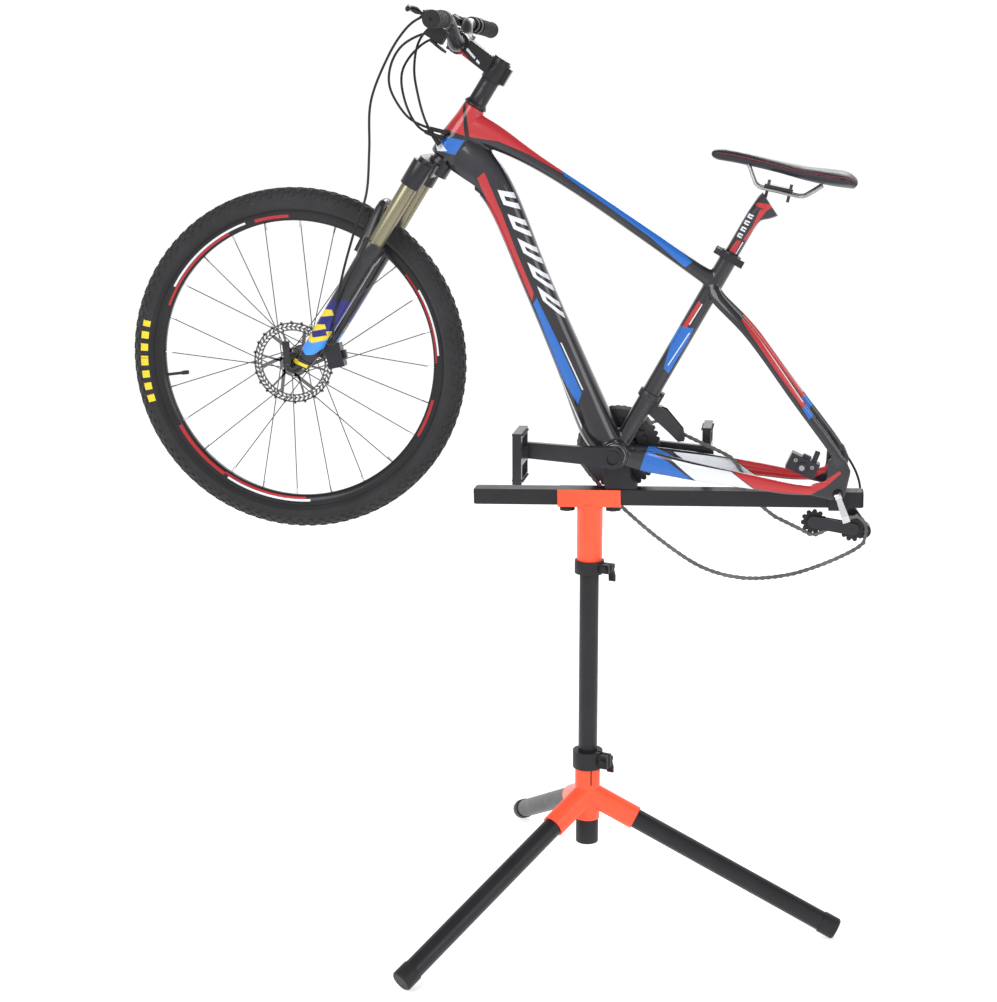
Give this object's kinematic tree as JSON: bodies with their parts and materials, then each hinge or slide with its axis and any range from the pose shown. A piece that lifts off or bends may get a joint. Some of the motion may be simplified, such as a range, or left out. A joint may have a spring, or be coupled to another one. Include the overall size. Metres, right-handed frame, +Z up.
{
  "type": "bicycle on stand",
  "caption": "Hardtail mountain bicycle without its rear wheel, clamped by its bottom bracket and rear dropouts to the rail of a tripod work stand.",
  "frame": {"origin": "on the mast axis at floor level", "axes": "+X towards the rear of the bicycle, +Y towards its right side, +Z up"},
  "size_m": [1.4799, 0.9099, 1.8162],
  "materials": {
    "frame_paint": "gloss",
    "frame_red": "gloss",
    "stand_orange": "gloss powder coat",
    "stand_black": "satin powder coat",
    "black_plastic": "fine grain",
    "black_alloy": "black anodised",
    "gold_alloy": "gold anodised",
    "silver_alloy": "polished",
    "steel": "ground",
    "grip_rubber": "soft",
    "tyre_rubber": "moulded tread",
    "saddle_cover": "synthetic cover",
    "cable_cover": "extruded"
  },
  "bodies": {
    "stand_base": {"tripod_hub": "stand_orange", "tripod_legs": "stand_black", "tripod_caps": "black_plastic", "lower_collar": "black_plastic"},
    "lower_lever": {"lower_lever": "black_plastic"},
    "mast": {"mast": "stand_black", "upper_collar": "black_plastic"},
    "upper_lever": {"upper_lever": "black_plastic"},
    "head": {"head_bracket": "stand_orange"},
    "knob_front": {"knob_front": "black_plastic"},
    "knob_rear": {"knob_rear": "black_plastic"},
    "bike": {"rail": "stand_black", "bb_cradle": "stand_black", "axle_carriage": "stand_black", "head_tube": "frame_red", "top_tube": "frame_paint", "down_tube": "frame_paint", "seat_tube": "frame_paint", "rear_stays": "frame_paint", "bearing_cups": "steel", "front_derailleur": "steel", "rear_caliper": "black_alloy", "seat_clamp": "black_alloy", "chain": "steel", "cables": "cable_cover"},
    "axle_lever": {"axle_lever": "silver_alloy"},
    "steering": {"fork_crown": "black_alloy", "stanchions": "gold_alloy", "steerer_spacers": "black_alloy", "stem": "black_alloy", "handlebar": "black_alloy", "grips": "grip_rubber", "bar_controls": "black_plastic"},
    "lowers": {"fork_lowers": "black_alloy", "front_caliper": "black_alloy", "front_skewer": "black_alloy"},
    "front_lever": {"front_lever": "black_alloy"},
    "wheel": {"front_hub": "black_alloy", "front_spokes": "steel", "front_rim": "black_alloy", "front_tyre": "tyre_rubber", "front_rotor": "steel"},
    "crank": {"crank_right": "black_alloy", "crank_left": "black_alloy", "chainrings": "steel"},
    "pedal_left": {"pedal_left": "black_alloy"},
    "pedal_right": {"pedal_right": "black_alloy"},
    "brake_right": {"brake_blade_right": "black_alloy"},
    "brake_left": {"brake_blade_left": "black_alloy"},
    "shift_right": {"shift_lever_right": "black_plastic"},
    "shift_left": {"shift_lever_left": "black_plastic"},
    "front_cage": {"derailleur_cage_front": "steel"},
    "derailleur": {"rear_derailleur": "black_alloy"},
    "rear_cage": {"derailleur_cage_rear": "black_alloy"},
    "guide_pulley": {"guide_pulley": "black_plastic"},
    "tension_pulley": {"tension_pulley": "black_plastic"},
    "seat": {"seatpost": "black_alloy", "saddle_rails": "steel", "saddle": "saddle_cover"},
    "seat_lever": {"seat_lever": "black_alloy"}
  },
  "joints": [
    {"name": "lower_lever_open", "type": "hinge", "parent": "stand_base", "child": "lower_lever", "pos_m": [0.04379, 0.00481, 0.334], "axis": [0.9397, -0.342, 0], "range_deg": [0, 90]},
    {"name": "mast_height", "type": "slide", "parent": "stand_base", "child": "mast", "axis": [0, 0, 1], "range_m": [0, 0.12]},
    {"name": "upper_lever_open", "type": "hinge", "parent": "mast", "child": "upper_lever", "pos_m": [0.04285, 0.00516, 0.739], "axis": [0.9397, -0.342, 0], "range_deg": [0, 90]},
    {"name": "head_turn", "type": "hinge", "parent": "mast", "child": "head", "pos_m": [0, 0, 0.8], "axis": [0, 0, 1], "continuous": true},
    {"name": "knob_front_turn", "type": "hinge", "parent": "head", "child": "knob_front", "pos_m": [-0.0451, 0, 0.85897], "axis": [-0.0227, 0, 0.9997], "continuous": true},
    {"name": "knob_rear_turn", "type": "hinge", "parent": "head", "child": "knob_rear", "pos_m": [0.04687, 0, 0.86105], "axis": [-0.0227, 0, 0.9997], "continuous": true},
    {"name": "rail_shift", "type": "slide", "parent": "head", "child": "bike", "axis": [0.9997, 0, 0.0227], "range_m": [-0.15, 0.15]},
    {"name": "axle_lever_open", "type": "hinge", "parent": "bike", "child": "axle_lever", "pos_m": [0.48077, -0.0895, 0.91693], "axis": [-0.9391, 0, -0.3437], "range_deg": [0, 90]},
    {"name": "steering_turn", "type": "hinge", "parent": "bike", "child": "steering", "pos_m": [-0.55219, 0, 1.11979], "axis": [0.5314, 0, 0.8471], "range_deg": [-75, 75], "deforming": ["cables"]},
    {"name": "fork_travel", "type": "slide", "parent": "steering", "child": "lowers", "axis": [0.5314, 0, 0.8471], "range_m": [0, 0.1], "stiffness_N_per_m": 4000, "deforming": ["cables"]},
    {"name": "front_lever_open", "type": "hinge", "parent": "lowers", "child": "front_lever", "pos_m": [-0.58776, -0.0775, 1.14211], "axis": [0.9987, 0, 0.0506], "range_deg": [0, 90]},
    {"name": "wheel_spin", "type": "hinge", "parent": "lowers", "child": "wheel", "pos_m": [-0.58776, 0, 1.14211], "axis": [0, 1, 0], "continuous": true},
    {"name": "crank_spin", "type": "hinge", "parent": "bike", "child": "crank", "pos_m": [0.0515, 0, 0.97367], "axis": [0, 1, 0], "continuous": true, "deforming": ["chain"]},
    {"name": "pedal_left_spin", "type": "hinge", "parent": "crank", "child": "pedal_left", "pos_m": [-0.11997, -0.08, 0.98716], "axis": [0, 1, 0], "continuous": true},
    {"name": "pedal_right_spin", "type": "hinge", "parent": "crank", "child": "pedal_right", "pos_m": [0.22297, 0.08, 0.96017], "axis": [0, 1, 0], "continuous": true},
    {"name": "brake_right_pull", "type": "hinge", "parent": "steering", "child": "brake_right", "pos_m": [-0.28618, 0.1878, 1.79932], "axis": [-0.5314, 0, -0.8471], "range_deg": [0, 14], "stiffness_Nm_per_rad": 0.4, "springref_deg": -17.19},
    {"name": "brake_left_pull", "type": "hinge", "parent": "steering", "child": "brake_left", "pos_m": [-0.28618, -0.1878, 1.79932], "axis": [0.5314, 0, 0.8471], "range_deg": [0, 14], "stiffness_Nm_per_rad": 0.4, "springref_deg": -17.19},
    {"name": "shift_right_push", "type": "hinge", "parent": "steering", "child": "shift_right", "pos_m": [-0.27953, 0.13493, 1.75572], "axis": [-0.5314, 0, -0.8471], "range_deg": [0, 15], "stiffness_Nm_per_rad": 0.3, "springref_deg": -17.19},
    {"name": "shift_left_push", "type": "hinge", "parent": "steering", "child": "shift_left", "pos_m": [-0.27953, -0.13493, 1.75572], "axis": [0.5314, 0, 0.8471], "range_deg": [0, 15], "stiffness_Nm_per_rad": 0.3, "springref_deg": -17.19},
    {"name": "front_cage_shift", "type": "slide", "parent": "bike", "child": "front_cage", "axis": [0, -1, 0], "range_m": [0, 0.003], "stiffness_N_per_m": 400, "springref_m": -0.01},
    {"name": "derailleur_swing", "type": "hinge", "parent": "bike", "child": "derailleur", "pos_m": [0.48442, 0.076, 0.89061], "axis": [0, -1, 0], "range_deg": [0, 12], "deforming": ["chain", "cables"]},
    {"name": "cage_swing", "type": "hinge", "parent": "derailleur", "child": "rear_cage", "pos_m": [0.53719, 0.07, 0.81613], "axis": [0, -1, 0], "range_deg": [0, 30], "stiffness_Nm_per_rad": 0.6, "springref_deg": -28.65, "deforming": ["chain"]},
    {"name": "guide_spin", "type": "hinge", "parent": "rear_cage", "child": "guide_pulley", "pos_m": [0.5151, 0.047, 0.82283], "axis": [0, 1, 0], "continuous": true},
    {"name": "tension_spin", "type": "hinge", "parent": "rear_cage", "child": "tension_pulley", "pos_m": [0.43893, 0.047, 0.83479], "axis": [0, 1, 0], "continuous": true},
    {"name": "seat_height", "type": "slide", "parent": "bike", "child": "seat", "axis": [0.4833, 0, 0.8755], "range_m": [-0.05, 0.05]},
    {"name": "seat_lever_open", "type": "hinge", "parent": "bike", "child": "seat_lever", "pos_m": [0.24085, -0.021, 1.36945], "axis": [-0.4833, 0, -0.8755], "range_deg": [0, 90]}
  ],
  "couplings": [
    {"joint": "guide_spin", "follows": "crank_spin", "ratio": 3.6364},
    {"joint": "tension_spin", "follows": "crank_spin", "ratio": -3.6364}
  ]
}
